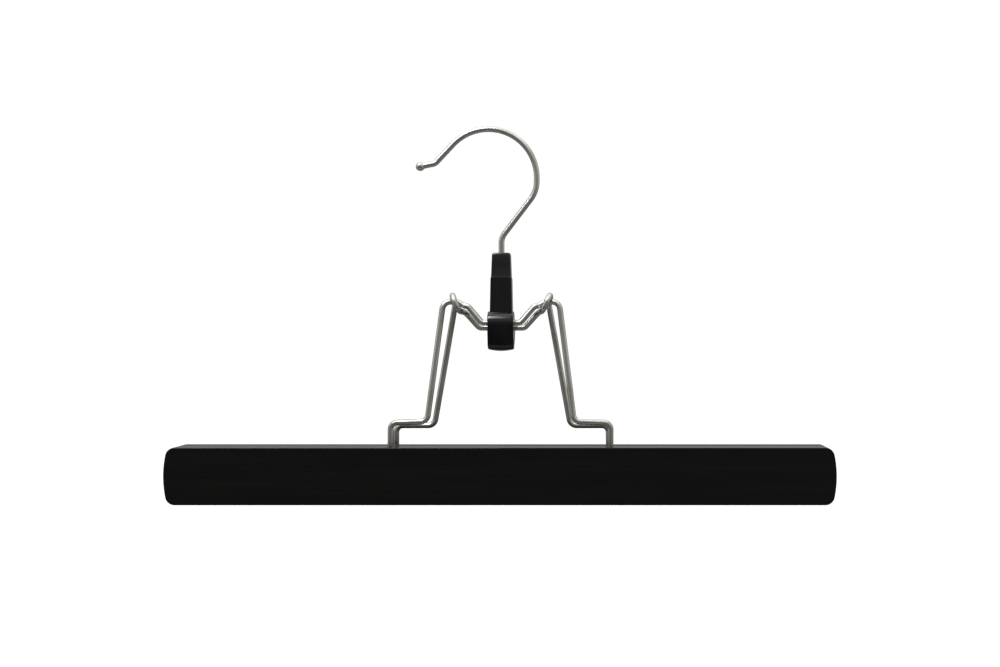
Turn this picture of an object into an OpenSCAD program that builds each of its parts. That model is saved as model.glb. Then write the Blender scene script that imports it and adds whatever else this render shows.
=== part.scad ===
// Clamp hanger for trousers: two felt-lined wooden bars on two bent wires,
// hinged at the wire loops and closed by a plastic lever that carries the hook.
// Millimetres, +Z up, +X along the bars, the front bar on the -Y side.
// Heights are written from the bars' lower edge; place() then moves the model so
// that its origin is the point of the hook that lies on the rail.

/* [Bars] */
// Length of a bar
bar_l = 350; // [250:5:450]
// Height of a bar
bar_h = 30; // [24:0.5:45]
// Thickness of the wood of a bar
bar_t = 8.5; // [7:0.5:14]
// Radius of a bar's four corners, seen from the front
bar_corner = 5; // [1:0.5:8]
// How far the middle of a bar's end stands out past its corners
bar_bulge = 1.0; // [0.4:0.1:3]
// Depth of the holes that hold the wires
hole_deep = 20; // [10:1:22]

/* [Felt] */
// Thickness of the felt lining
felt_t = 1.5; // [1:0.25:4]
// Bare wood left around the felt
felt_margin = 1.75; // [1:0.25:8]
// Gap between the two felts when the hanger is closed
felt_gap = 0.3; // [0.2:0.1:2]

/* [Wires] */
// Diameter of the bent wires
wire_d = 3.1; // [2.5:0.1:3.4]
// Clearance of a wire in its hole in the wood, on the radius
foot_gap = 0.05; // [0.02:0.01:0.3]
// Half the distance between the feet of the front wire
front_foot_x = 57.5; // [50:0.5:90]
// Half the distance between the feet of the back wire
back_foot_x = 56.5; // [50:0.5:90]
// Height of the front wire's step above the bars' top face
front_step = 12.6; // [8:0.2:20]
// Height of the back wire's step above the bars' top face
back_step = 10.3; // [6:0.2:18]
// Half the distance between the front legs at their lower end
front_leg_x = 38.4; // [33:0.2:45]
// Half the distance between the back legs at their lower end
back_leg_x = 36.2; // [31:0.2:42]
// Half the distance between the front legs at the shoulder
front_shoulder_x = 30.4; // [29.5:0.2:34]
// Height of the hinge axis above the bars' top face
hinge_up = 75.6; // [65:0.2:120]

/* [Mechanism] */
// How far the front crossbar lies below the hinge axis
front_cross_drop = 10.7; // [8:0.1:14]
// How far the back crossbar lies below the hinge axis
back_cross_drop = 13.3; // [11:0.1:18]
// Depth from the middle plane to each crossbar when closed
cross_y = 2.7; // [2.2:0.1:5]
// Angle that the lever turns from closed to open
lever_travel = 90; // [60:5:100]
// Angle that the bars open for each degree of the lever
jaw_ratio = 0.25; // [0.15:0.01:0.3]
// Clearance of the front crossbar in its bore, on the radius
pivot_gap = 0.06; // [0.02:0.01:0.1]
// Clearance of the back crossbar in its slot, on the radius
slot_gap = 0.3; // [0.2:0.05:0.6]

/* [Lever] */
// Height of the lever's top above the hinge axis
lever_up = 26.2; // [22:0.2:50]
// Width of the hub that holds the two crossbars
hub_w = 13.7; // [10:0.1:15]
// Width of the grip at the hub
grip_w = 12.0; // [9:0.1:14]
// Width of the grip at its top
grip_top_w = 10.0; // [8:0.1:12]
// Depth of the grip from front to back
grip_t = 8.4; // [7.6:0.1:11]
// Wall around the front crossbar
hub_wall_front = 4.45; // [2.5:0.05:6]
// Wall behind the back crossbar in its closed seat
hub_wall_back = 2.65; // [2:0.05:5]
// Wall around the far end of the slot
hub_wall_end = 2.75; // [2:0.05:5]

/* [Hook] */
// Diameter of the hook's wire
hook_d = 3.1; // [2.5:0.1:3.6]
// Radius of the hook's main curve, at the middle of the wire
hook_r = 25.6; // [20:0.2:35]
// Sideways distance from the swivel axis to the centre of the main curve
hook_off = 7.0; // [3:0.5:12]
// Slope of the hook's lower part, from the horizontal
hook_lean = 52.7; // [45:0.5:65]
// Diameter of the ball at the hook's tip
ball_d = 4.7; // [4:0.1:8]
// Diameter of the head that keeps the hook in the lever
head_d = 5.4; // [4.4:0.1:5.8]
// Thickness of that head
head_t = 2.0; // [1.2:0.1:3]
// Depth of the hook's shank in the lever
shank_deep = 17; // [12:0.5:18]
// Clearance of the hook's shank in the lever, on the radius
swivel_gap = 0.06; // [0.02:0.01:0.1]
// Clearance of the hook's head in its chamber
head_gap = 0.2; // [0.1:0.05:0.4]

/* [Hidden] */
$fn = 64;
wire_r = wire_d / 2;
hook_wire_r = hook_d / 2;
wire_sides = 10;
bend_step = 15;
// A swept wire is this much thinner than the straight rods that it runs into.
sweep_skin = 0.01;
sweep_overlap = 1;
steel = [0.62, 0.61, 0.57];
black_plastic = [0.06, 0.06, 0.07];
black_wood = [0.09, 0.08, 0.075];
black_felt = [0.16, 0.16, 0.17];

// Places of the joints, from the bars' lower edge and the middle plane.
foot_y = felt_gap / 2 + felt_t + bar_t / 2;
hinge_z = bar_h + hinge_up;
hinge_y = -1.0;
front_cross_z = hinge_z - front_cross_drop;
back_cross_z = hinge_z - back_cross_drop;
lever_top_z = hinge_z + lever_up;

// The hook's shank bends at its neck, leans out, and bends back into the main curve.
hook_neck = 8.1;
hook_neck_bend = 8;
hook_flat_bend = 17;
hook_rise = 1.45;
hook_side_x = hook_r - hook_off;
hook_turn = 90 - hook_lean;
hook_neck_z = lever_top_z + hook_neck;
hook_join_z = hook_neck_z + hook_side_x * tan(hook_lean);
hook_mid_z = hook_join_z + hook_flat_bend * tan(hook_turn / 2) + hook_rise;
seat_r = hook_r - hook_wire_r;
seat_z = hook_mid_z + sqrt(seat_r * seat_r - hook_off * hook_off);

module place() {
    translate([0, 0, -seat_z]) children();
}

// Wires: a list of [corner, bend radius], turned into a smooth line and swept.
function unit(v) = v / norm(v);

function turn_at(p, before, after) =
    180 - acos(max(-1, min(1, unit(before - p) * unit(after - p))));

// Length of the straight line that a bend takes away on each side of its corner.
function bend_cut(p, before, after, r) = r * tan(turn_at(p, before, after) / 2);

function bend(p, before, after, r) =
    let (
        u = unit(before - p),
        v = unit(after - p),
        turn = turn_at(p, before, after),
        mid = p + unit(u + v) * r / cos(turn / 2),
        arm = p + u * bend_cut(p, before, after, r) - mid,
        steps = max(2, ceil(turn / bend_step))
    )
    [for (i = [0:steps]) mid + arm * cos(turn * i / steps) - u * r * sin(turn * i / steps)];

function smooth_line(path) = [
    for (i = [0:len(path) - 1])
        for (q = (i == 0 || i == len(path) - 1 || path[i][1] == 0)
            ? [path[i][0]]
            : bend(path[i][0], path[i - 1][0], path[i + 1][0], path[i][1])) q
];

function heading(line, i) =
    unit(line[min(i + 1, len(line) - 1)] - line[max(i - 1, 0)]);

// The side vector is carried along the line, so that the tube doesn't twist.
function carried(side, way) = unit(side - way * (side * way));

function side_vectors(line, first) = [
    for (i = 0, s = carried(first, heading(line, 0));
         i < len(line);
         i = i + 1, s = carried(s, heading(line, min(i, len(line) - 1)))) s
];

module sweep(line, r, sides, first) {
    last = len(line) - 1;
    across = side_vectors(line, first);
    rings = [
        for (i = [0:last])
            let (a = across[i], b = cross(heading(line, i), a))
                for (k = [0:sides - 1])
                    line[i] + r * (a * cos(360 * k / sides) + b * sin(360 * k / sides))
    ];
    walls = [
        for (i = [0:last - 1])
            for (k = [0:sides - 1])
                let (n = (k + 1) % sides)
                    for (f = [[i * sides + k, (i + 1) * sides + k, (i + 1) * sides + n],
                              [i * sides + k, (i + 1) * sides + n, i * sides + n]]) f
    ];
    start_cap = [for (k = [0:sides - 1]) k];
    end_cap = [for (k = [sides - 1:-1:0]) last * sides + k];
    polyhedron(points = rings, faces = concat(walls, [start_cap], [end_cap]), convexity = 10);
}

// One wire has a straight crossbar, two feet and a bent arm on each side.
module wire(arm, foot, cross_end, at_y, at_z) {
    for (side = [-1, 1]) {
        mirrored = [for (p = smooth_line(arm)) [side * p[0], p[1], p[2]]];
        sweep(mirrored, wire_r - sweep_skin, wire_sides, [0, 1, 0]);
        translate([side * foot[0], foot[1], bar_h - hole_deep])
            cylinder(r = wire_r, h = foot[2] - bar_h + hole_deep);
    }
    translate([-cross_end, at_y, at_z])
        rotate([0, 90, 0]) cylinder(r = wire_r, h = 2 * cross_end);
}

// Front wire: foot, step, leg, rounded shoulder, then down through the loop of
// the back wire to the front crossbar.
foot_bend = 3.5;
leg_bend = 4;
shoulder_bend = 4.4;
cross_bend = 3;
front_step_z = bar_h + front_step;
front_step_rise = 0.7;
// From its shoulder the wire falls a little on its way through the loop.
shoulder_lift = 0.7;
shoulder_z = hinge_z + shoulder_lift;
shoulder_y = hinge_y - 1.0;
arch_end = [22.6, hinge_y + 0.3, hinge_z + 0.1];
arch_bend = 3;
front_dip = [19.5, hinge_y - 0.2, hinge_z - 1.7];
dip_bend = 3;
front_drop = [17.5, hinge_y - 0.6, hinge_z - 2.0];
drop_bend = 3;
front_corner = [10.1, -cross_y, front_cross_z];
front_mid = [0, -cross_y, front_cross_z];
front_cross_end = front_corner[0] - bend_cut(front_corner, front_drop, front_mid, cross_bend);
front_foot_top = front_step_z - foot_bend;
front_arm = [
    [[front_foot_x, -foot_y, front_foot_top - sweep_overlap], 0],
    [[front_foot_x, -foot_y, front_step_z], foot_bend],
    [[front_leg_x, -foot_y, front_step_z + front_step_rise], leg_bend],
    [[front_shoulder_x, shoulder_y, shoulder_z], shoulder_bend],
    [arch_end, arch_bend],
    [front_dip, dip_bend],
    [front_drop, drop_bend],
    [front_corner, cross_bend],
    [[front_cross_end - sweep_overlap, -cross_y, front_cross_z], 0]
];

module front_wire() {
    color(steel) place()
        wire(front_arm, [front_foot_x, -foot_y, front_foot_top], front_cross_end, -cross_y, front_cross_z);
}

// Back wire: foot, step, leg, up behind the front wire and over it, down in
// front of it, back under it, and down to the back crossbar: one full turn.
loop_room = 1.2;
loop_r = wire_d + loop_room;
loop_bend = loop_r - 0.1;
loop_low_bend = loop_r - 0.3;
loop_entry_bend = 4;
// Gap between the loop's top and the front wire below it.
loop_over_gap = 0.2;
loop_top_z = hinge_z + 0.35 + wire_d + loop_over_gap;
loop_low_z = hinge_z - 1.75 - wire_d;
loop_back_y = hinge_y + loop_r;
loop_front_y = hinge_y - loop_r;
// The loop leans: its top is farther out than its bottom.
loop_top_x = 25.7;
loop_front_x = 21.9;
loop_low_x = 19.6;
loop_skew = 0.2;
back_step_z = bar_h + back_step;
back_corner = [12.0, cross_y, back_cross_z];
back_mid = [0, cross_y, back_cross_z];
loop_exit = [loop_low_x, loop_back_y - loop_skew, loop_low_z];
back_cross_end = back_corner[0] - bend_cut(back_corner, loop_exit, back_mid, cross_bend);
back_foot_top = back_step_z - foot_bend;
back_arm = [
    [[back_foot_x, foot_y, back_foot_top - sweep_overlap], 0],
    [[back_foot_x, foot_y, back_step_z], foot_bend],
    [[back_leg_x, foot_y, back_step_z], leg_bend],
    [[loop_top_x - 0.8, loop_back_y + 0.1, hinge_z - 1.4], loop_entry_bend],
    [[loop_top_x + loop_skew, loop_back_y, loop_top_z], loop_bend],
    [[loop_top_x - loop_skew, loop_front_y, loop_top_z], loop_bend],
    [[loop_front_x, loop_front_y, loop_low_z], loop_low_bend],
    [loop_exit, loop_low_bend],
    [back_corner, cross_bend],
    [[back_cross_end - sweep_overlap, cross_y, back_cross_z], 0]
];

module back_wire() {
    color(steel) place()
        wire(back_arm, [back_foot_x, foot_y, back_foot_top], back_cross_end, cross_y, back_cross_z);
}

// Outline of a bar from the front: rounded corners and slightly convex ends.
module bar_outline(length, height, corner, bulge) {
    half = height / 2;
    reach = half - corner;
    end_r = (reach * reach + bulge * bulge) / (2 * bulge) + corner;
    end_mid = length / 2 - end_r;
    corner_x = end_mid + sqrt((end_r - corner) * (end_r - corner) - reach * reach);
    tangent_z = reach * end_r / (end_r - corner);
    square([2 * corner_x, height], center = true);
    for (side = [-1, 1]) {
        intersection() {
            translate([side * end_mid, 0]) circle(r = end_r, $fn = 360);
            translate([side * length / 4, 0]) square([length / 2 + 2, 2 * tangent_z], center = true);
        }
        for (up = [-1, 1]) translate([side * corner_x, up * reach]) circle(r = corner);
    }
}

module bar(side, foot_x) {
    near = felt_gap / 2 + felt_t;
    difference() {
        translate([0, side > 0 ? near + bar_t : -near, bar_h / 2])
            rotate([90, 0, 0]) linear_extrude(bar_t) bar_outline(bar_l, bar_h, bar_corner, bar_bulge);
        for (x = [-foot_x, foot_x])
            translate([x, side * foot_y, bar_h - hole_deep])
                cylinder(r = wire_r + foot_gap, h = hole_deep + 1);
    }
}

module front_bar() {
    color(black_wood) place() bar(-1, front_foot_x);
}

module back_bar() {
    color(black_wood) place() bar(1, back_foot_x);
}

module felt(side) {
    length = bar_l - 2 * felt_margin;
    height = bar_h - 2 * felt_margin;
    corner = max(0.5, bar_corner - felt_margin);
    translate([0, side > 0 ? felt_gap / 2 + felt_t : -felt_gap / 2, bar_h / 2])
        rotate([90, 0, 0]) linear_extrude(felt_t) bar_outline(length, height, corner, bar_bulge);
}

module front_felt() {
    color(black_felt) place() felt(-1);
}

module back_felt() {
    color(black_felt) place() felt(1);
}

// Path of the back crossbar as the lever sees it, for the slot in the hub.
front_cross = [-cross_y, front_cross_z];
hinge = [hinge_y, hinge_z];
back_arm_y = cross_y - hinge_y;

function turned(p, a) = [p[0] * cos(a) - p[1] * sin(a), p[0] * sin(a) + p[1] * cos(a)];

function slot_point(a) =
    front_cross + turned(hinge + turned([back_arm_y, -back_cross_drop], jaw_ratio * a) - front_cross, -a);

slot_r = wire_r + slot_gap;
slot_steps = 18;
slot_line = [for (i = [0:slot_steps]) slot_point(lever_travel * i / slot_steps)];
slot_end = slot_point(lever_travel);

module slot_shape() {
    away = [
        for (i = [0:slot_steps])
            let (d = unit(slot_line[min(i + 1, slot_steps)] - slot_line[max(i - 1, 0)])) [-d[1], d[0]]
    ];
    one_side = [for (i = [0:slot_steps]) slot_line[i] + slot_r * away[i]];
    other_side = [for (i = [slot_steps:-1:0]) slot_line[i] - slot_r * away[i]];
    polygon(concat(one_side, other_side));
    translate(slot_point(0)) circle(r = slot_r);
    translate(slot_end) circle(r = slot_r);
}

// Extrudes a side view, drawn as [depth, height], across the lever's width.
module across(width) {
    rotate([90, 0, 90]) translate([0, 0, -width / 2]) linear_extrude(width) children();
}

// A disc across the lever with a chamfered rim.
module rimmed_disc(at, r, width, rim) {
    across(width) translate(at) circle(r = r - rim, $fn = 40);
    across(width - 2 * rim) translate(at) circle(r = r, $fn = 40);
}

hub_rim = 0.8;
hub_low_w = hub_w - 0.8;
hub_front_r = wire_r + hub_wall_front;
hub_back_r = wire_r + hub_wall_back;
hub_end_r = slot_r + hub_wall_end;
// The big curve at the top of the hub sits a little in front of the bore.
hub_top = front_cross + [-0.2, 0];

module hub() {
    hull() {
        rimmed_disc(hub_top, hub_front_r, hub_w, hub_rim);
        rimmed_disc([cross_y, back_cross_z], hub_back_r, hub_w, hub_rim);
        rimmed_disc(slot_end, hub_end_r, hub_low_w, hub_rim);
    }
}

// The grip narrows a little up to its bend, then more, and has a chamfered top.
grip_bend_z = lever_top_z - 13.4;
grip_bend_w = grip_w - 1;
grip_edge = 0.8;
grip_top_edge = 1;
grip_top_t = grip_t - 1.2;
grip_chamfer = 0.8;
grip_slice = 0.1;

// One level of the grip: a rounded bar as wide and as deep as asked.
module grip_level(z, width, depth, edge) {
    for (x = [-1, 1])
        for (y = [-1, 1])
            translate([x * (width / 2 - edge), y * (depth / 2 - edge), z])
                cylinder(r = edge, h = grip_slice, $fn = 24);
}

module grip() {
    hull() {
        grip_level(front_cross_z, grip_w, grip_t, grip_edge);
        grip_level(grip_bend_z, grip_bend_w, grip_t, grip_edge);
    }
    hull() {
        grip_level(grip_bend_z, grip_bend_w, grip_t, grip_edge);
        grip_level(lever_top_z - 1, grip_top_w, grip_top_t, grip_top_edge);
        grip_level(
            lever_top_z - grip_slice,
            grip_top_w - 2 * grip_chamfer,
            grip_top_t - 2 * grip_chamfer,
            grip_top_edge
        );
    }
}

shank_low_z = lever_top_z - shank_deep;

module lever() {
    color(black_plastic) place() difference() {
        union() {
            hub();
            grip();
        }
        across(hub_w + 2) translate(front_cross) circle(r = wire_r + pivot_gap);
        across(hub_w + 2) slot_shape();
        translate([0, 0, shank_low_z]) cylinder(r = hook_wire_r + swivel_gap, h = shank_deep + 1);
        translate([0, 0, shank_low_z - head_gap])
            cylinder(r = head_d / 2 + head_gap, h = head_t + 2 * head_gap);
    }
}

// Hook: shank, a bend towards the main curve, the main curve, and a tip that
// turns outwards to its ball.
hook_end_angle = 137;
hook_mid = [-hook_off, 0, hook_mid_z];
hook_steps = 16;
tip_run = 13.7;
tip_bend = 4;
tip_l = 8;
tip_slope = 11.6;
hook_end = hook_mid + hook_r * [cos(hook_end_angle), 0, sin(hook_end_angle)];
tip_bend_at = hook_end + tip_run * [-sin(hook_end_angle), 0, cos(hook_end_angle)];
ball_at = tip_bend_at - tip_l * [cos(tip_slope), 0, sin(tip_slope)];
shank_top_z = hook_neck_z - hook_neck_bend * tan(hook_turn / 2) - sweep_overlap;
hook_low = [
    [[0, 0, shank_low_z + head_t / 2], 0],
    [[0, 0, hook_neck_z], hook_neck_bend],
    [[hook_side_x, 0, hook_join_z], hook_flat_bend],
    [[hook_side_x, 0, hook_mid_z], 0]
];
hook_tip = [
    [hook_end, 0],
    [tip_bend_at, tip_bend],
    [ball_at, 0]
];
hook_line = concat(
    smooth_line(hook_low),
    [for (i = [1:hook_steps - 1])
        let (a = hook_end_angle * i / hook_steps) hook_mid + hook_r * [cos(a), 0, sin(a)]],
    smooth_line(hook_tip)
);

module hook() {
    color(steel) place() {
        sweep(hook_line, hook_wire_r - sweep_skin, wire_sides, [0, 1, 0]);
        translate([0, 0, shank_low_z]) cylinder(r = hook_wire_r, h = shank_top_z - shank_low_z);
        translate([0, 0, shank_low_z]) cylinder(r = head_d / 2, h = head_t);
        translate(ball_at) sphere(d = ball_d, $fn = 32);
    }
}

hook();
lever();
front_wire();
back_wire();
front_bar();
back_bar();
front_felt();
back_felt();
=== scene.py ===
"""Looks of a clamp hanger for trousers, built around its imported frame.

Lengths in the classes are millimetres and heights are counted from the top
faces of the bars, as a maker's drawing has them; `placed` turns them into the
frame's metres, whose origin is the point of the hook that lies on the rail.
"""

from __future__ import annotations

import logging
import math
from dataclasses import dataclass, field
from enum import Enum
from typing import Any

import bpy
import numpy as np
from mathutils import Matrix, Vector

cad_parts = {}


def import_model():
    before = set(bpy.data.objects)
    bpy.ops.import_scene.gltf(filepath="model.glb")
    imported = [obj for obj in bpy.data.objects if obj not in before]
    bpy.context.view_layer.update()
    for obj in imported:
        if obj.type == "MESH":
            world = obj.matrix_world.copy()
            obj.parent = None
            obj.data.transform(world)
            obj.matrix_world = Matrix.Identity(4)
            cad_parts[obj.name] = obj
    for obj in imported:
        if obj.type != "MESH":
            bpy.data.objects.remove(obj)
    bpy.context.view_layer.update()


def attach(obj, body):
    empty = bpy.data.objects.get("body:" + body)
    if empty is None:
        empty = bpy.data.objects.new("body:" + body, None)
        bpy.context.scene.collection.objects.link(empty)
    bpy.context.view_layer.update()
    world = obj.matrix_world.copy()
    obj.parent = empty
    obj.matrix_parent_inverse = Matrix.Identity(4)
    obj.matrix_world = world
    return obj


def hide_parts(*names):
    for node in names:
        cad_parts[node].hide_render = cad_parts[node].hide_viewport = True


LOG = logging.getLogger("hanger")
Array = np.ndarray
Colour = tuple[float, float, float, float]
Triple = tuple[float, float, float]
Pair = tuple[float, float]
Piece = bpy.types.Object
Material = bpy.types.Material

MM = 0.001
# Height of the hook's rail seat over the bars' top faces, in millimetres.
SEAT_HEIGHT = 164.51239
# Every rod's first side vector: all rods start out at right angles to it.
DEPTH_AXIS = np.array([0.0, 1.0, 0.0])
# A smaller turn, in radians, counts as a straight line.
LEAST_TURN = 1e-6
LEAST_ARC_POINTS = 3
# Points of a refined line lie at least this far apart, in millimetres.
LEAST_GAP = 0.02
BIT_SIDES = 48
LEVER_SIDES = 96
NAP_SEED = 7
# How far a cutter stands out of what it cuts, in millimetres.
BIT_OVERRUN = 1.0
# The Mix node's colour sockets, whose names its number sockets share.
MIX_FIRST, MIX_SECOND, MIX_RESULT = 6, 7, 2


def placed(points: Array) -> Array:
    """Turn drawing points (n, 3) in millimetres into metres from the rail seat."""
    return (np.asarray(points, float) - (0.0, 0.0, SEAT_HEIGHT)) * MM


def unit(vectors: Array) -> Array:
    """Scale vectors along the last axis to length one."""
    return vectors / np.linalg.norm(vectors, axis=-1, keepdims=True)


# ---- Meshes ----


class Crease(Enum):
    """Angle in degrees from which an edge of a material stays sharp."""

    BIT = 30
    PLASTIC = 35
    WOOD = 40
    WIRE = 50
    FELT = 60


def added(name: str, data: Any) -> Piece:
    """Put something into the scene, at the origin.

    Args:
        name: Name of the new object.
        data: Its mesh, lamp or camera.

    Returns:
        The object.
    """
    made = bpy.data.objects.new(name, data)
    bpy.context.scene.collection.objects.link(made)
    return made


@dataclass
class Shell:
    """A closed surface: points, faces, and what its material reads.

    Args:
        points: Array (n, 3) of drawing points in millimetres.
        faces: Lists of point indices, all seen anticlockwise from outside.
        corner_uv: One (u, v) for each corner of each face, in order, or None.
        rim: One number for each point, 1 on a worn edge, or None.
    """

    points: Array
    faces: list[list[int]]
    corner_uv: Array | None = None
    rim: Array | None = None

    def to_object(self, name: str, crease: Crease) -> Piece:
        """Make a Blender object, smooth except across sharp creases.

        Args:
            name: Name of the object and of its mesh.
            crease: Angle from which an edge stays sharp.

        Returns:
            The new object, at the origin, linked to the scene.
        """
        mesh = bpy.data.meshes.new(name)
        mesh.from_pydata(placed(self.points).tolist(), [], self.faces)
        if self.corner_uv is not None:
            layer = mesh.uv_layers.new(name="lay")
            layer.data.foreach_set("uv", self.corner_uv.astype(np.float32).ravel())
        if self.rim is not None:
            worn = mesh.attributes.new("rim", "FLOAT", "POINT")
            worn.data.foreach_set("value", self.rim.astype(np.float32))
        smooth(mesh, crease)
        return added(name, mesh)


def smooth(mesh: bpy.types.Mesh, crease: Crease) -> None:
    """Shade a mesh smooth, except across sharp creases.

    Args:
        mesh: The mesh.
        crease: Angle from which an edge stays sharp.
    """
    mesh.validate()
    mesh.polygons.foreach_set("use_smooth", np.ones(len(mesh.polygons), bool))
    mesh.set_sharp_from_angle(angle=math.radians(crease.value))
    mesh.update()


def circle(angle: Array) -> Array:
    """Give the points of the unit circle at angles in radians."""
    return np.stack([np.cos(angle), np.sin(angle)], axis=-1)


def grid_faces(rows: int, columns: int) -> list[list[int]]:
    """List the quads of a grid whose columns close into rings.

    Args:
        rows: Number of rings.
        columns: Number of points in each ring.

    Returns:
        One list of four indices for each quad.
    """
    ring, spot = np.meshgrid(np.arange(rows - 1), np.arange(columns), indexing="ij")
    start, beyond = ring * columns, (ring + 1) * columns
    after = (spot + 1) % columns
    quads = np.stack([start + spot, start + after, beyond + after, beyond + spot], axis=-1)
    return quads.reshape(-1, 4).tolist()


def capped(rings: Array) -> tuple[Array, list[list[int]]]:
    """Close a stack of rings with a flat face at each end.

    Args:
        rings: Array (rows, columns, 3) of points.

    Returns:
        The points as (n, 3), and the faces.
    """
    rows, columns, _ = rings.shape
    first = list(range(columns))[::-1]
    last = list(range((rows - 1) * columns, rows * columns))
    return rings.reshape(-1, 3), [*grid_faces(rows, columns), first, last]


def carried_across(x: Array, outline: Array) -> Array:
    """Carry a side outline across a piece, one ring for each place.

    Args:
        x: Sideways place of each ring.
        outline: Depths and heights, (n, 2) for all rings or (rings, n, 2).

    Returns:
        Array (rings, n, 3) of points.
    """
    outline = np.broadcast_to(outline, (len(x), *outline.shape[-2:]))
    side = np.broadcast_to(x[:, None, None], (*outline.shape[:2], 1))
    return np.concatenate([side, outline], axis=-1)


def rounded_path(corners: Array, bends: Array, step: float = 4.0) -> Array:
    """Turn corners into a smooth line: an arc of the bend's radius at each one.

    The arc's centre lies on the corner's bisector, at radius / cos(turn / 2),
    and the arc runs from one tangent point to the other.

    Args:
        corners: Array (n, 3) of the corners.
        bends: Bend radius at each corner, 0 for a plain point.
        step: Largest turn between two points of an arc, in degrees.

    Returns:
        Array of points on the line.
    """
    parts = [corners[:1]]
    for before, corner, after, radius in zip(corners, corners[1:], corners[2:], bends[1:]):
        back, ahead = unit(before - corner), unit(after - corner)
        turn = math.pi - math.acos(float(np.clip(back @ ahead, -1, 1)))
        if radius == 0 or turn < LEAST_TURN:
            parts.append(corner[None])
            continue
        middle = corner + unit(back + ahead) * radius / math.cos(turn / 2)
        arm = corner + back * radius * math.tan(turn / 2) - middle
        count = max(LEAST_ARC_POINTS, math.ceil(math.degrees(turn) / step) + 1)
        angle = np.linspace(0, turn, count)[:, None]
        parts.append(middle + arm * np.cos(angle) - back * radius * np.sin(angle))
    return np.concatenate([*parts, corners[-1:]])


def arc_length(line: Array) -> Array:
    """Give the distance along a line of points, starting at 0."""
    return np.concatenate([[0.0], np.cumsum(np.linalg.norm(np.diff(line, axis=0), axis=1))])


def carried_sides(heading: Array) -> Array:
    """Carry a side vector along a line without twist, from the depth axis on.

    Each side vector is the one before it with its part along the new heading
    taken away.

    Args:
        heading: Array (n, 3) of unit headings.

    Returns:
        Array (n, 3) of unit side vectors.
    """
    sides = np.empty_like(heading)
    side = DEPTH_AXIS
    for row, way in enumerate(heading):
        side = unit(side - way * (side @ way))
        sides[row] = side
    return sides


def rod(line: Array, radius: Array, around: int) -> Shell:
    """Sweep a circle along a line: point + r (a cos t + b sin t).

    Args:
        line: Array (n, 3) of the centre line.
        radius: Radius at each point of the line.
        around: Number of points round the rod.

    Returns:
        The closed rod, with u along it and v round it in millimetres.
    """
    heading = unit(np.gradient(line, axis=0))
    side = carried_sides(heading)
    other = np.cross(heading, side)
    turn = np.linspace(0, 2 * np.pi, around, endpoint=False)[None, :, None]
    out = side[:, None] * np.cos(turn) + other[:, None] * np.sin(turn)
    rings = line[:, None] + radius[:, None, None] * out
    points, faces = capped(rings)
    along = arc_length(line)
    ring, spot = np.meshgrid(np.arange(len(line) - 1), np.arange(around), indexing="ij")
    wrap = 2 * np.pi * float(np.median(radius)) / around
    corner_u = np.stack([along[ring], along[ring], along[ring + 1], along[ring + 1]], axis=-1)
    corner_v = np.stack([spot, spot + 1, spot + 1, spot], axis=-1) * wrap
    wall_uv = np.stack([corner_u, corner_v], axis=-1).reshape(-1, 2)
    cap_uv = np.zeros((2 * around, 2))
    return Shell(points, faces, np.concatenate([wall_uv, cap_uv]))


def refined(line: Array, at: Array) -> tuple[Array, Array]:
    """Add points to a line at given distances along it.

    Args:
        line: Array (n, 3).
        at: Distances at which a point is wanted.

    Returns:
        The finer line, and the distance of each of its points.
    """
    along = arc_length(line)
    wanted = np.unique(np.round(np.concatenate([along, at]), decimals=5))
    wanted = wanted[(wanted >= 0) & (wanted <= along[-1])]
    keep = np.concatenate([[True], np.diff(wanted) > LEAST_GAP])
    wanted = wanted[keep]
    finer = np.stack([np.interp(wanted, along, line[:, axis]) for axis in range(3)], axis=1)
    return finer, wanted


def joined(base: Piece, tools: list[tuple[str, Piece]], crease: Crease) -> None:
    """Apply solid unions and cuts to a piece and drop the tools.

    Args:
        base: The piece that changes.
        tools: Pairs of operation (UNION or DIFFERENCE) and tool object.
        crease: Angle from which an edge stays sharp.
    """
    for operation, tool in tools:
        step = base.modifiers.new(operation.lower(), "BOOLEAN")
        step.operation = operation
        step.solver = "EXACT"
        step.object = tool
    bpy.context.view_layer.update()
    seen = base.evaluated_get(bpy.context.evaluated_depsgraph_get())
    result = bpy.data.meshes.new_from_object(seen)
    base.modifiers.clear()
    old, base.data = base.data, result
    name = old.name
    bpy.data.meshes.remove(old)
    result.name = name
    for _, tool in tools:
        bpy.data.meshes.remove(tool.data)
    smooth(result, crease)


def drill(name: str, start: Triple, end: Triple, radius: float) -> Piece:
    """Make a straight round cutter.

    Args:
        name: Name of the cutter.
        start: One end, in drawing millimetres.
        end: The other end.
        radius: Radius of the hole.

    Returns:
        The cutter.
    """
    shell = rod(np.array([start, end], float), np.full(2, radius), BIT_SIDES)
    shell.corner_uv = None
    return shell.to_object(name, Crease.BIT)


# ---- Finishes ----


@dataclass
class Term:
    """One value in a material's maths, so that it can be written as a sum.

    Args:
        paint: The material's node board.
        socket: The output that carries the value.
    """

    paint: Paint
    socket: bpy.types.NodeSocket

    def _with(self, operation: str, first: Any, second: Any) -> Term:
        """Add a Math node for an operation on two terms or numbers."""
        return self.paint.add("ShaderNodeMath", {"operation": operation}, {0: first, 1: second})

    def __add__(self, other: Any) -> Term:
        """Give self + other."""
        return self._with("ADD", self, other)

    def __radd__(self, other: Any) -> Term:
        """Give other + self."""
        return self._with("ADD", other, self)

    def __sub__(self, other: Any) -> Term:
        """Give self - other."""
        return self._with("SUBTRACT", self, other)

    def __rsub__(self, other: Any) -> Term:
        """Give other - self."""
        return self._with("SUBTRACT", other, self)

    def __mul__(self, other: Any) -> Term:
        """Give self * other."""
        return self._with("MULTIPLY", self, other)

    def __rmul__(self, other: Any) -> Term:
        """Give other * self."""
        return self._with("MULTIPLY", other, self)


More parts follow.
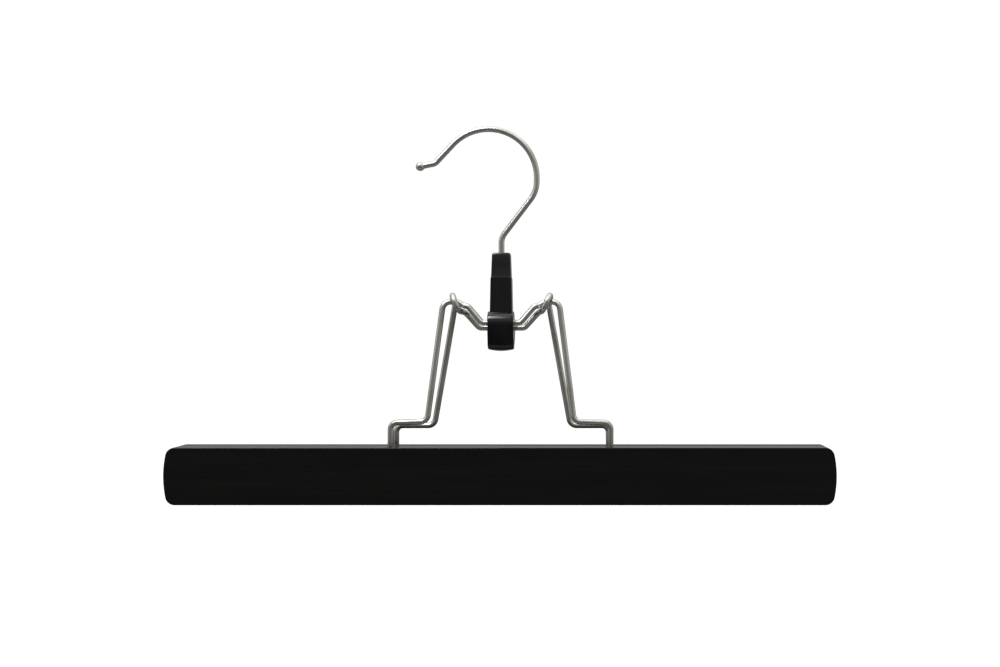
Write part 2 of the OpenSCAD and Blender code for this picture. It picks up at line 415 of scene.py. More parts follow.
class Paint:
    """The node board of one material or world."""

    def __init__(self, tree: bpy.types.NodeTree) -> None:
        """Take over the node tree of a material or a world, and empty it."""
        self.tree = tree
        tree.nodes.clear()

    def add(self, kind: str, settings: dict[str, Any], inputs: dict[Any, Any], out: Any = 0) -> Term:
        """Add one node.

        Args:
            kind: The node's type name.
            settings: Properties of the node, set first.
            inputs: Value or Term for each input, by name or number.
            out: Name or number of the output to use.

        Returns:
            The chosen output.
        """
        node = self.tree.nodes.new(kind)
        for key, value in settings.items():
            setattr(node, key, value)
        for key, value in inputs.items():
            if isinstance(value, Term):
                self.tree.links.new(value.socket, node.inputs[key])
            else:
                node.inputs[key].default_value = value
        return Term(self, node.outputs[out])

    def spread(self, value: Term, low: float, high: float) -> Term:
        """Stretch a value so that low..high becomes a soft 0..1."""
        return self.add(
            "ShaderNodeMapRange",
            {"interpolation_type": "SMOOTHSTEP"},
            {"Value": value, "From Min": low, "From Max": high},
        )

    def blend(self, mask: Term, first: Any, second: Any) -> Term:
        """Mix two colours by a mask.

        Args:
            mask: 0 gives the first colour, 1 the second.
            first: Colour as (r, g, b, 1) or a Term.
            second: The same.

        Returns:
            The mixed colour.
        """
        sockets = {"Factor": mask, MIX_FIRST: first, MIX_SECOND: second}
        return self.add("ShaderNodeMix", {"data_type": "RGBA"}, sockets, MIX_RESULT)

    def place(self, stretch: Triple = (1.0, 1.0, 1.0), uv: bool = False) -> Term:
        """Give Object or UV coordinates, stretched along each axis.

        Args:
            stretch: Factor for each axis.
            uv: True to read the piece's own UV map.

        Returns:
            The vector for a texture.
        """
        if uv:
            spot = self.add("ShaderNodeUVMap", {"uv_map": "lay"}, {})
        else:
            spot = self.add("ShaderNodeTexCoord", {}, {}, "Object")
        return self.add("ShaderNodeMapping", {}, {"Vector": spot, "Scale": stretch})

    def noise(self, spot: Term, scale: float, detail: float, rough: float = 0.5) -> Term:
        """Give a noise of 0..1 at a spot, with `scale` waves to its unit of length."""
        inputs = {"Vector": spot, "Scale": scale, "Detail": detail, "Roughness": rough}
        return self.add("ShaderNodeTexNoise", {}, inputs)

    def relief(self, height: Term, depth: float, strength: float) -> Term:
        """Give a normal from a height of 0..1 and its depth in metres."""
        return self.add("ShaderNodeBump", {}, {"Height": height, "Distance": depth, "Strength": strength})

    def surface(self, inputs: dict[str, Any]) -> None:
        """Finish the material with one Principled shader, given its sockets."""
        skin = self.add("ShaderNodeBsdfPrincipled", {}, inputs)
        self.add_output("ShaderNodeOutputMaterial", skin)

    def add_output(self, kind: str, skin: Term) -> None:
        """Link a shader to the surface of a new output node."""
        self.tree.links.new(skin.socket, self.tree.nodes.new(kind).inputs["Surface"])


def board_for(name: str) -> tuple[Material, Paint]:
    """Make a material with an empty node board.

    Args:
        name: Name of the material.

    Returns:
        The material and its board.
    """
    material = bpy.data.materials.new(name)
    material.use_nodes = True
    return material, Paint(material.node_tree)


@dataclass(frozen=True)
class NickelledWire:
    """Drawn steel wire with thin, slightly warm nickel plating.

    Args:
        bright: Colour of the clean plating.
        tarnish: Colour where it has dulled.
        gloss: Roughness of the smoothest spots.
    """

    bright: Colour = (0.50, 0.49, 0.45, 1.0)
    tarnish: Colour = (0.34, 0.33, 0.29, 1.0)
    gloss: float = 0.22

    def material(self, name: str) -> Material:
        """Make the material: drawing lines along the wire, dull patches, fine grain.

        Args:
            name: Name of the material.

        Returns:
            The material.
        """
        made, paint = board_for(name)
        lines = paint.noise(paint.place((0.012, 2.6, 1.0), uv=True), 1.0, 4.0, 0.6)
        patches = paint.noise(paint.place(), 55.0, 3.0, 0.55)
        grain = paint.noise(paint.place(), 1400.0, 2.0)
        dull = paint.spread(patches, 0.42, 0.70)
        shade = paint.spread(dull * 0.65 + lines * 0.35, 0.1, 0.9)
        height = lines * 0.95 + grain * 0.05
        paint.surface(
            {
                "Base Color": paint.blend(shade, self.bright, self.tarnish),
                "Metallic": 1.0,
                "Roughness": self.gloss + dull * 0.12 + lines * 0.08,
                "Normal": paint.relief(height, depth=0.0000012, strength=0.4),
            }
        )
        return made


@dataclass(frozen=True)
class MouldedPlastic:
    """Glossy black moulded plastic.

    Args:
        colour: Colour of the plastic.
        scuffed: Colour of its fine scuffs.
        gloss: Roughness of the smoothest spots.
    """

    colour: Colour = (0.0010, 0.0010, 0.0016, 1.0)
    scuffed: Colour = (0.0050, 0.0050, 0.0060, 1.0)
    gloss: float = 0.07

    def material(self, name: str) -> Material:
        """Make the material: slow sink marks, fine mould grain and light scuffs.

        Args:
            name: Name of the material.

        Returns:
            The material.
        """
        made, paint = board_for(name)
        sink = paint.noise(paint.place((1, 1, 0.6)), 90.0, 2.0)
        grain = paint.noise(paint.place(), 2600.0, 2.0)
        scuffs = paint.spread(paint.noise(paint.place((1.0, 1.0, 0.12)), 900.0, 3.0), 0.60, 0.78)
        paint.surface(
            {
                "Base Color": paint.blend(scuffs, self.colour, self.scuffed),
                "Roughness": self.gloss + sink * 0.04 + scuffs * 0.10,
                "Normal": paint.relief(sink * 0.97 + grain * 0.03, depth=0.00004, strength=0.5),
            }
        )
        return made


@dataclass(frozen=True)
class BlackLacquer:
    """Gloss black lacquer on beech, a little brown where it is thin.

    Args:
        deep: Colour of the full coat.
        thin: Colour where the grain shows through.
        worn: Colour of the edges.
        gloss: Roughness under the clear coat.
    """

    deep: Colour = (0.0022, 0.0020, 0.0019, 1.0)
    thin: Colour = (0.0052, 0.0042, 0.0035, 1.0)
    worn: Colour = (0.030, 0.022, 0.016, 1.0)
    gloss: float = 0.24

    def material(self, name: str) -> Material:
        """Make the material: long grain, the coat's orange peel, and worn edges.

        Args:
            name: Name of the material.

        Returns:
            The material.
        """
        made, paint = board_for(name)
        spot = paint.place((0.05, 1.0, 1.0))
        grain = paint.noise(spot, 620.0, 5.0, 0.62)
        bands = paint.noise(spot, 110.0, 3.0, 0.5)
        pores = paint.spread(paint.noise(paint.place((0.10, 1.0, 1.0)), 1900.0, 2.0), 0.62, 0.74)
        peel = paint.noise(paint.place(), 260.0, 2.0, 0.45)
        waves = paint.noise(paint.place((0.35, 1, 1)), 42.0, 2.0, 0.4)
        rim = paint.add("ShaderNodeAttribute", {"attribute_name": "rim"}, {}, "Fac")
        rubbed = paint.spread(rim * (0.45 + paint.noise(paint.place(), 170.0, 4.0)), 0.55, 1.15)
        height = peel * 0.35 + waves * 0.55 + grain * 0.10
        coat = paint.blend(paint.spread(grain * 0.5 + bands * 0.5, 0.35, 0.72), self.deep, self.thin)
        paint.surface(
            {
                "Base Color": paint.blend(rubbed, coat, self.worn),
                "Roughness": self.gloss + pores * 0.10 + rubbed * 0.12,
                "Coat Weight": 0.32 - rubbed * 0.1,
                "Coat Roughness": 0.05,
                "Coat IOR": 1.4,
                "Specular IOR Level": 0.1,
                "Normal": paint.relief(height, depth=0.00008, strength=0.6),
            }
        )
        return made


@dataclass(frozen=True)
class BlackFelt:
    """Short black felt.

    Args:
        dark: Colour between the fibres.
        fibre: Colour of the fibres.
    """

    dark: Colour = (0.010, 0.010, 0.011, 1.0)
    fibre: Colour = (0.050, 0.049, 0.050, 1.0)

    def material(self, name: str) -> Material:
        """Make the material: tangled fibres that lie two ways, clumps and lint.

        Args:
            name: Name of the material.

        Returns:
            The material.
        """
        made, paint = board_for(name)
        lengthwise = paint.noise(paint.place((0.25, 1, 1)), 3800.0, 3.0, 0.7)
        upright = paint.noise(paint.place((1, 1, 0.25)), 3400.0, 3.0, 0.7)
        clumps = paint.noise(paint.place(), 420.0, 3.0, 0.55)
        lint = paint.spread(paint.noise(paint.place(), 1500.0, 2.0), 0.70, 0.78)
        nap = lengthwise * 0.4 + upright * 0.4 + clumps * 0.2
        lit = paint.spread(nap + lint * 0.25, 0.38, 0.72)
        paint.surface(
            {
                "Base Color": paint.blend(lit, self.dark, self.fibre),
                "Roughness": 0.92,
                "Sheen Weight": 0.35,
                "Sheen Roughness": 0.5,
                "Specular IOR Level": 0.2,
                "Normal": paint.relief(nap, depth=0.0005, strength=0.9),
            }
        )
        return made


def dress(piece: Piece, material: Material) -> None:
    """Give a piece its one material."""
    piece.data.materials.clear()
    piece.data.materials.append(material)


# ---- Sub-assemblies ----


class Side(Enum):
    """Which of the two jaws a piece belongs to."""

    FRONT = -1
    BACK = 1

    @property
    def word(self) -> str:
        """Give the word that names of pieces start with."""
        return self.name.lower()

    @property
    def body(self) -> str:
        """Give the moving body that the pieces ride on."""
        return f"{self.word}_jaw"


@dataclass
class Board:
    """A wooden bar with rounded edges, or the felt glued to it.

    Args:
        length: Overall length.
        height: Overall height.
        corner: Radius of the four corners.
        bulge: How far the middle of an end stands past its corners.
        outer_round: Rounding of the edges of the outer face.
        inner_round: Rounding of the edges of the inner face.
        hold: How far in from its rounding a face has one more ring of points.
    """

    length: float = 350.0
    height: float = 30.0
    corner: float = 5.0
    bulge: float = 1.0
    outer_round: float = 0.55
    inner_round: float = 0.5
    hold: float = 0.4

    def outline(self) -> tuple[Array, Array]:
        """Give the outline from the front, and the direction out of it.

        The ends are arcs through the corner circles, whose radius is
        (reach^2 + bulge^2) / (2 bulge) + corner.

        Returns:
            Points (n, 2) about the bar's middle, and their unit normals.
        """
        reach = self.height / 2 - self.corner
        end_r = (reach**2 + self.bulge**2) / (2 * self.bulge) + self.corner
        end_mid = self.length / 2 - end_r
        corner_x = end_mid + math.sqrt((end_r - self.corner) ** 2 - reach**2)
        tilt = math.asin(reach / (end_r - self.corner))
        end_points, corner_points, top_points = 17, 13, 57
        end_out = circle(np.linspace(-tilt, tilt, end_points))
        corner_out = circle(np.linspace(tilt, math.pi / 2, corner_points)[1:])
        end = (end_mid, 0) + end_r * end_out
        round_corner = (corner_x, reach) + self.corner * corner_out
        top_x = np.linspace(corner_x, -corner_x, top_points)[1:-1]
        top = np.stack([top_x, np.full_like(top_x, self.height / 2)], axis=1)
        top_out = np.tile([0.0, 1.0], (len(top), 1))
        left, low, both = (-1, 1), (1, -1), (-1, -1)

        def closed(side: Array, corner: Array, upper: Array) -> Array:
            """Mirror the right end, its upper corner and the top into a loop."""
            half = [side, corner, upper, (corner * left)[::-1], (side * left)[::-1]]
            return np.concatenate([*half, corner * both, (upper * low)[::-1], (corner * low)[::-1]])

        return closed(end, round_corner, top), closed(end_out, corner_out, top_out)

    def shell(self, outer_y: float, inner_y: float, middle_z: float, nap: float = 0.0) -> Shell:
        """Sweep the outline through the thickness with rounded edges.

        A ring's inset and depth follow a quarter circle at each face:
        r (1 - sin t) and r (1 - cos t). The rim's wear is a bell curve about
        the outer rounding: exp(-((inset - worn_at) / worn_wide)^2).

        Args:
            outer_y: Depth of the outer face.
            inner_y: Depth of the inner face.
            middle_z: Height of the bar's middle.
            nap: Size of the edge's random unevenness.

        Returns:
            The closed shell.
        """
        way = math.copysign(1.0, inner_y - outer_y)
        round_points = 7
        turn = np.linspace(0, np.pi / 2, round_points)
        back = turn[::-1]
        outer, inner = self.outer_round, self.inner_round
        outer_in, inner_in = outer * (1 - np.sin(turn)), inner * (1 - np.sin(back))
        inset = np.concatenate([[outer + self.hold], outer_in, inner_in, [inner + self.hold]])
        outer_deep, inner_deep = outer * (1 - np.cos(turn)), -inner * (1 - np.cos(back))
        depth = np.concatenate([[0.0], outer_deep, inner_deep, [0.0]])
        is_outer = np.arange(len(inset)) <= round_points
        y = np.where(is_outer, outer_y, inner_y) + way * depth
        points, out = self.outline()
        flat = points[None] - inset[:, None, None] * out[None]
        level_y = np.broadcast_to(y[:, None], flat.shape[:2])
        rings = np.stack([flat[..., 0], level_y, flat[..., 1] + middle_z], axis=-1)
        if nap:
            shake = np.random.default_rng(NAP_SEED).normal(0, nap, rings.shape[:2])
            rings[..., 0] += shake * out[None, :, 0]
            rings[..., 2] += shake * out[None, :, 1]
        if way > 0:
            rings = rings[:, ::-1]
        verts, faces = capped(rings)
        worn_at, worn_wide = outer * 0.3, outer * 0.35
        edge = np.exp(-(((inset - worn_at) / worn_wide) ** 2)) * is_outer
        return Shell(verts, faces, rim=np.repeat(edge, rings.shape[1]))


@dataclass
class Jaw:
    """One bar with its felt and the two drilled holes for its wire.

    Args:
        side: Front or back.
        foot_x: Half the distance between the holes.
        felt_gap: Gap between the two felts when closed.
        felt_t: Thickness of the felt.
        bar_t: Thickness of the wood.
        hole_r: Radius of a hole.
        hole_deep: Depth of a hole.
        nap: Unevenness of the felt's cut edge.
        wood: Outline and roundings of the bar.
        lining: Outline and roundings of the felt.
    """

    side: Side
    foot_x: float
    felt_gap: float = 0.3
    felt_t: float = 1.5
    bar_t: float = 8.5
    hole_r: float = 1.6
    hole_deep: float = 20.0
    nap: float = 0.035
    wood: Board = field(default_factory=Board)
    lining: Board = field(
        default_factory=lambda: Board(346.5, 26.5, 3.25, 1.0, outer_round=0.1, inner_round=0.45)
    )

    def build(self, lacquer: Material, felt: Material) -> list[Piece]:
        """Make the bar and its felt.

        Args:
            lacquer: Finish of the wood.
            felt: Finish of the lining.

        Returns:
            The two pieces.
        """
        sign = self.side.value
        word = self.side.word
        glue_y = self.felt_gap / 2 + self.felt_t
        middle = -self.wood.height / 2
        wood = self.wood.shell(sign * (glue_y + self.bar_t), sign * glue_y, middle)
        bar = wood.to_object(f"{word}_bar_wood", Crease.WOOD)
        foot_y = sign * (glue_y + self.bar_t / 2)
        holes = []
        for x in (-self.foot_x, self.foot_x):
            low, high = (x, foot_y, -self.hole_deep), (x, foot_y, BIT_OVERRUN)
            holes.append(("DIFFERENCE", drill(f"{word}_bit", low, high, self.hole_r)))
        joined(bar, holes, Crease.WOOD)
        dress(bar, lacquer)
        lining = self.lining.shell(sign * glue_y, sign * self.felt_gap / 2, middle, self.nap)
        pad = lining.to_object(f"{word}_felt_lining", Crease.FELT)
        dress(pad, felt)
        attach(bar, self.side.body)
        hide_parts(f"{word}_bar")
        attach(pad, self.side.body)
        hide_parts(f"{word}_felt")
        return [bar, pad]


@dataclass
class BentWire:
    """One of the two bent wires: feet, steps, legs, shoulder or loop, crossbar.

    Args:
        side: The jaw whose bar it is fixed in.
        arm: Corners of the right half, from foot to crossbar.
        bends: Bend radius at each corner.
        radius: Radius of the wire.
        chamfer: Chamfer of the cut ends.
    """

    side: Side
    arm: Array
    bends: Array
    radius: float = 1.55
    chamfer: float = 0.35

    @classmethod
    def through(cls, side: Side, corners: list[tuple[float, float, float, float]]) -> BentWire:
        """Give the wire whose corners are rows of x, y, z and bend radius."""
        table = np.array(corners)
        return cls(side, table[:, :3], table[:, 3])

    def build(self, nickel: Material) -> Piece:
        """Sweep the wire from its left foot to its right one.

        Args:
            nickel: Finish of the wire.

        Returns:
            The piece.
        """
        half = rounded_path(self.arm, self.bends)
        whole = np.concatenate([half[:-1] * (-1, 1, 1), half[::-1]])
        line, along = refined(whole, np.array([self.chamfer, arc_length(whole)[-1] - self.chamfer]))
        near_end = np.minimum(along, along[-1] - along)
        radius = self.radius - np.clip(self.chamfer - near_end, 0, self.chamfer)
        word = self.side.word
        piece = rod(line, radius, around=22).to_object(f"{word}_bent_wire", Crease.WIRE)
        dress(piece, nickel)
        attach(piece, self.side.body)
        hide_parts(f"{word}_wire")
        return piece


def front_wire() -> BentWire:
    """Give the front wire: a rounded shoulder, then through the back wire's loop."""
    corners = [
        (57.5, -5.9, -20.0, 0),  # foot
        (57.5, -5.9, 12.6, 3.5),  # step
        (38.4, -5.9, 13.3, 4.0),  # leg
        (30.4, -2.0, 76.3, 4.4),  # shoulder
        (22.6, -0.7, 75.7, 3.0),  # in the loop
        (19.5, -1.2, 73.9, 3.0),  # dip behind the loop's front
        (17.5, -1.6, 73.6, 3.0),  # start of the slope
        (10.1, -2.7, 64.9, 3.0),  # upper crossbar
        (0.0, -2.7, 64.9, 0),  # middle
    ]
    return BentWire.through(Side.FRONT, corners)


def back_wire() -> BentWire:
    """Give the back wire, which turns once round the front wire on each side."""
    corners = [
        (56.5, 5.9, -20.0, 0),  # foot
        (56.5, 5.9, 10.3, 3.5),  # step
        (36.2, 5.9, 10.3, 4.0),  # leg
        (24.9, 3.4, 74.2, 4.0),  # up behind the front wire
        (25.9, 3.3, 79.25, 4.2),  # over it
        (25.5, -5.3, 79.25, 4.2),  # down in front of it
        (21.9, -5.3, 70.75, 4.0),  # back under it
        (19.6, 3.1, 70.75, 4.0),  # start of the slope
        (12.0, 2.7, 62.3, 3.0),  # lower crossbar
        (0.0, 2.7, 62.3, 0),  # middle
    ]
    return BentWire.through(Side.BACK, corners)


@dataclass
class ClosingLever:
    """The moulded lever: a hub on the two crossbars and an upright grip.

    Args:
        hinge: Depth and height of the jaws' hinge.
        pivot: Depth and height of the front crossbar.
        seat: Depth and height of the back crossbar when closed.
        travel: Angle that the lever turns.
        jaw_ratio: Angle of the jaws for each degree of the lever.
        hub_w: Width of the hub.
        hub_top: Depth and height of the middle of the hub's big curve.
        hub_radii: Radius of the hub's big curve, its back and its lower end.
        crown: How far the lower end's radius falls off towards the sides.
        top: Height of the lever's top.
        bore_r: Radius of the bores for the crossbar and the hook's shank.
        slot_r: Half the width of the slot.
        rim: Rounding of the hub's rims.
        grip_t: Thickness of the grip.
        bend_drop: Height from the grip's bend to its top.
        shank_deep: Depth of the hook's shank in the lever.
        chamber: Lower and upper end of the head's chamber, from the shank's foot.
        chamber_r: Radius of that chamber.
    """

    hinge: Pair = (-1.0, 75.6)
    pivot: Pair = (-2.7, 64.9)
    seat: Pair = (2.7, 62.3)
    travel: float = 90.0
    jaw_ratio: float = 0.25
    hub_w: float = 13.7
    hub_top: Pair = (-2.9, 64.9)
    hub_radii: Triple = (6.0, 4.2, 4.6)
    crown: float = 0.9
    top: float = 101.8
    bore_r: float = 1.61
    slot_r: float = 1.85
    rim: float = 0.55
    grip_t: float = 8.4
    bend_drop: float = 13.4
    shank_deep: float = 17.0
    chamber: Pair = (-0.2, 2.2)
    chamber_r: float = 2.9

    def slot_line(self, points: int = 31) -> Array:
        """Give the back crossbar's path as the turning lever sees it.

        The crossbar turns about the hinge by ratio * a, and the lever's own
        turn by a about the pivot is then taken away.

        Args:
            points: Number of points.

        Returns:
            Array (points, 2) of depth and height.
        """
        angle = np.radians(np.linspace(0, self.travel, points))
        hinge, pivot = np.array(self.hinge), np.array(self.pivot)

        def turned(point: Array, by: Array) -> Array:
            """Turn points about the origin.

            Args:
                point: Depths and heights.
                by: Angles in radians.

            Returns:
                The turned points.
            """
            y = point[..., 0] * np.cos(by) - point[..., 1] * np.sin(by)
            z = point[..., 0] * np.sin(by) + point[..., 1] * np.cos(by)
            return np.stack([y, z], axis=-1)

        swung = hinge + turned(np.array(self.seat) - hinge, self.jaw_ratio * angle)
        return pivot + turned(swung - pivot, -angle)

    def hub(self) -> Piece:
        """Make the hub: the outline round three circles, swept across.

        For each outward direction the outline takes the circle that reaches
        furthest; the circles shrink towards the sides, so that the rims are
        round and the lower end is crowned.

        Returns:
            The hub.
        """
        centres = np.array([self.hub_top, self.seat, self.slot_line()[-1]])
        radii = np.array(self.hub_radii)
        crown = np.array([0.0, 0.0, self.crown])
        lip, rim_points, flat_points = 0.3, 6, 6
        turn = np.linspace(0, np.pi / 2, rim_points)
        half = self.hub_w / 2
        edge_x = half - self.rim + self.rim * np.sin(turn)
        edge_in = self.rim * (1 - np.cos(turn))
        flat_x = np.linspace(0, half - self.rim, flat_points)[:-1]
        x = np.concatenate([flat_x, edge_x, [half]])
        inset = np.concatenate([np.zeros_like(flat_x), edge_in, [self.rim + lip]])
        x = np.concatenate([-x[:0:-1], x])
        inset = np.concatenate([inset[:0:-1], inset])
        ring_r = radii[None] - inset[:, None] - crown[None] * (x[:, None] / half) ** 2
        out = circle(np.linspace(0, 2 * np.pi, LEVER_SIDES, endpoint=False))
        reach = (centres @ out.T)[None] + ring_r[:, :, None]
        best = reach.argmax(axis=1)
        centre = centres[best]
        radius = np.take_along_axis(ring_r, best, axis=1)
        outline = centre + radius[..., None] * out[None]
        rings = carried_across(x, outline)
        return Shell(*capped(rings)).to_object("closing_lever", Crease.PLASTIC)

    def grip(self) -> Piece:
        """Make the grip: rounded rectangles stacked up, leaning back at the top.

        A level is x = w sgn(c)|c|^p, y = t sgn(s)|s|^p with a small power p,
        which gives flat sides with round corners and a slight crown. In front
        the bend's line bows up in the middle.

        Returns:
            The grip.
        """
        bend = self.top - self.bend_drop
        half_t = self.grip_t / 2
        level = np.array(
            [
                # height, half width, front inset, back inset, corner power
                [63.5, 6.0, 0, 0, 0.16],
                [70.5, 5.95, 0, 0, 0.16],
                [bend - 0.6, 5.62, 0, 0, 0.16],
                [bend - 0.1, 5.55, 0.01, 0, 0.16],
                [bend + 0.25, 5.40, 0.10, 0, 0.16],
                [bend + 1.2, 5.30, 0.22, 0.06, 0.17],
                [self.top - 6.0, 5.08, 0.62, 0.35, 0.18],
                [self.top - 1.6, 4.95, 0.88, 0.6, 0.20],
                [self.top - 0.75, 4.82, 1.0, 0.75, 0.22],
                [self.top - 0.22, 4.5, 1.3, 1.05, 0.25],
                [self.top, 3.9, 1.85, 1.6, 0.3],
                [self.top, 3.5, 2.2, 2.0, 0.3],
            ]
        )
        height, half_w, front_in, back_in, power = level.T[..., None]
        front, back = -half_t + front_in, half_t - back_in
        turn = np.linspace(0, 2 * np.pi, LEVER_SIDES, endpoint=False) + np.pi / LEVER_SIDES
        cos, sin = np.cos(turn), np.sin(turn)
        across = np.sign(cos) * np.abs(cos) ** power
        deep = np.sign(sin) * np.abs(sin) ** power
        x = half_w * across
        y = (front + back) / 2 + (back - front) / 2 * deep
        bow, softness = 0.9, 1.5
        near_bend = np.exp(-(((height - bend) / softness) ** 2))
        z = height + bow * near_bend * (1 - across**2) * (deep < 0)
        rings = np.stack([x, y, z], axis=-1)
        return Shell(*capped(rings)).to_object("grip_blank", Crease.PLASTIC)

    def slot_cutter(self) -> Piece:
        """Make the cutter of the curved slot: its path widened, with round ends.

        Returns:
            The cutter.
        """
        path = self.slot_line()
        way = unit(np.gradient(path, axis=0))
        side = np.stack([-way[:, 1], way[:, 0]], axis=1)
        start, finish = math.atan2(side[0, 1], side[0, 0]), math.atan2(side[-1, 1], side[-1, 0])
        end_points = 17
        half_turn = np.linspace(0, np.pi, end_points)[1:-1]
        last = path[-1] + self.slot_r * circle(finish - half_turn)
        first = path[0] + self.slot_r * circle(start + np.pi - half_turn)
        loop = np.concatenate([path + self.slot_r * side, last, (path - self.slot_r * side)[::-1], first])
        area = np.sum(loop[:, 0] * np.roll(loop[:, 1], -1) - loop[:, 1] * np.roll(loop[:, 0], -1))
        if area < 0:
            loop = loop[::-1]
        rings = carried_across(np.array([-self.hub_w, self.hub_w]), loop)
        return Shell(*capped(rings)).to_object("slot_bit", Crease.PLASTIC)

    def build(self, plastic: Material) -> Piece:
        """Join the hub and the grip and cut the bore, the slot and the hook's seat.

        Args:
            plastic: Finish of the lever.

        Returns:
            The piece.
        """
        piece = self.hub()
        foot = self.top - self.shank_deep
        y, z = self.pivot
        side = 8.0
        low, high = ((0.0, 0.0, foot + end) for end in self.chamber)
        shank_bit = drill("shank_bit", (0, 0, foot), (0, 0, self.top + BIT_OVERRUN), self.bore_r)
        tools = [
            ("UNION", self.grip()),
            ("DIFFERENCE", drill("pivot_bit", (-side, y, z), (side, y, z), self.bore_r)),
            ("DIFFERENCE", self.slot_cutter()),
            ("DIFFERENCE", shank_bit),
            ("DIFFERENCE", drill("head_bit", low, high, self.chamber_r)),
        ]
        joined(piece, tools, Crease.PLASTIC)
        dress(piece, plastic)
        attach(piece, "lever")
        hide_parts("lever")
        return piece


@dataclass
class SwivelHook:
    """The hook: shank with its head, lean, main curve, and the ball at the tip.

    Args:
        radius: Radius of the wire.
        curve_r: Radius of the main curve, at the middle of the wire.
        offset: How far the main curve's centre lies to the side of the shank.
        lean: Slope of the lower part in degrees.
        neck: Height of the shank's bend over the lever.
        neck_bend: Bend radius there.
        flat_bend: Bend radius where the lower part meets the main curve.
        rise: Straight rise from that bend to the main curve.
        end_angle: Where on the main curve the tip begins, in degrees.
        tip_run: Length of the straight part after the main curve.
        tip_bend: Bend radius of the tip.
        tip_l: Distance from the tip's bend to the ball's middle.
        tip_slope: How far the tip points down, in degrees.
        ball_r: Radius of the ball.
        head_r: Radius of the head in the lever.
        head_t: Thickness of the head.
        head_round: Chamfer of the head.
        lever_top: Height of the lever's top.
        shank_deep: Depth of the shank in the lever.
    """

    radius: float = 1.55
    curve_r: float = 25.6
    offset: float = 7.0
    lean: float = 52.7
    neck: float = 8.1
    neck_bend: float = 8.0
    flat_bend: float = 17.0
    rise: float = 1.45
    end_angle: float = 137.0
    tip_run: float = 13.7
    tip_bend: float = 4.0
    tip_l: float = 8.0
    tip_slope: float = 11.6
    ball_r: float = 2.35
    head_r: float = 2.7
    head_t: float = 2.0
    head_round: float = 0.3
    lever_top: float = 101.8
    shank_deep: float = 17.0

    def line(self) -> Array:
        """Give the centre line from the head in the lever to the tip's ball.

        Returns:
            Array (n, 3) of points.
        """
        side = self.curve_r - self.offset
        turn = 90 - self.lean
        neck_z = self.lever_top + self.neck
        join_z = neck_z + side * math.tan(math.radians(self.lean))
        mid_z = join_z + self.flat_bend * math.tan(math.radians(turn / 2)) + self.rise
        low_z = self.lever_top - self.shank_deep
        low = np.array([(0, 0, low_z), (0, 0, neck_z), (side, 0, join_z), (side, 0, mid_z)], float)
        lower = rounded_path(low, np.array([0, self.neck_bend, self.flat_bend, 0]), 3.0)
        curve_points = 60
        angle = np.radians(np.linspace(0, self.end_angle, curve_points)[1:])
        centre = np.array([-self.offset, 0, mid_z])
        way = np.stack([np.cos(angle), np.zeros_like(angle), np.sin(angle)], axis=1)
        curve = centre + self.curve_r * way
        end, last = curve[-1], angle[-1]
        bend = end + self.tip_run * np.array([-math.sin(last), 0, math.cos(last)])
        slope = math.radians(self.tip_slope)
        out = np.array([-math.cos(slope), 0, -math.sin(slope)])
        ball = bend + self.tip_l * out
        tip = rounded_path(np.array([end, bend, ball + self.ball_r * out]), np.array([0, self.tip_bend, 0]))
        return np.concatenate([lower, curve[:-1], tip])

    def build(self, nickel: Material) -> Piece:
        """Sweep the hook, thicker at its head and its ball.

        Points are added along the line where the thickness changes: just
        before and after each end of the head, and all over the ball, whose
        radius is sqrt(ball_r^2 - distance^2).

        Args:
            nickel: Finish of the wire.

        Returns:
            The piece.
        """
        coarse = self.line()
        total = arc_length(coarse)[-1]
        edge, cut, step = self.head_round, self.head_t, 0.05
        head = np.array([step, edge, cut - edge, cut, cut + step])
        first_turn, last_turn, ball_rings, last_ring = -1.35, 1.45, 27, 0.03
        ball_turn = np.linspace(first_turn, last_turn, ball_rings)
        ball = total - self.ball_r + self.ball_r * np.sin(ball_turn)
        line, along = refined(coarse, np.concatenate([head, ball, [total - last_ring]]))
        radius = np.full(len(along), self.radius)
        in_head = along < cut + step / 5
        bevel = np.clip(edge - np.minimum(along, cut - along), 0, edge)
        radius[in_head] = self.head_r - bevel[in_head]
        from_ball = along - (total - self.ball_r)
        tip_r = 0.02
        ball_r = np.sqrt(np.clip(self.ball_r**2 - from_ball**2, tip_r**2, None))
        near = np.abs(from_ball) < self.ball_r
        radius[near] = np.where(from_ball[near] < 0, np.maximum(ball_r[near], self.radius), ball_r[near])
        piece = rod(line, radius, around=28).to_object("swivel_hook", Crease.WIRE)
        dress(piece, nickel)
        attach(piece, "hook")
        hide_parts("hook")
        return piece


# ---- Studio ----


@dataclass(frozen=True)
class Softbox:
    """One rectangular lamp.

    Args:
        name: Name of the lamp.
        spot: Its place, in metres.
        size: Width and height, in metres.
        power: Power in watts.
        aim: The point it faces, by default the lever's.
        tint: Colour of its light.
    """

    name: str
    spot: Triple
    size: Pair
    power: float
    aim: Triple = (0.0, 0.0, -0.10)
    tint: Triple = (1.0, 1.0, 1.0)

    def build(self) -> None:
        """Add the lamp."""
        data = bpy.data.lights.new(self.name, "AREA")
        data.color = self.tint
        data.shape = "RECTANGLE"
        data.size, data.size_y = self.size
        data.energy = self.power
        lamp = added(self.name, data)
        lamp.location = self.spot
        way = Vector(self.aim) - Vector(self.spot)
        lamp.rotation_euler = way.to_track_quat("-Z", "Y").to_euler()


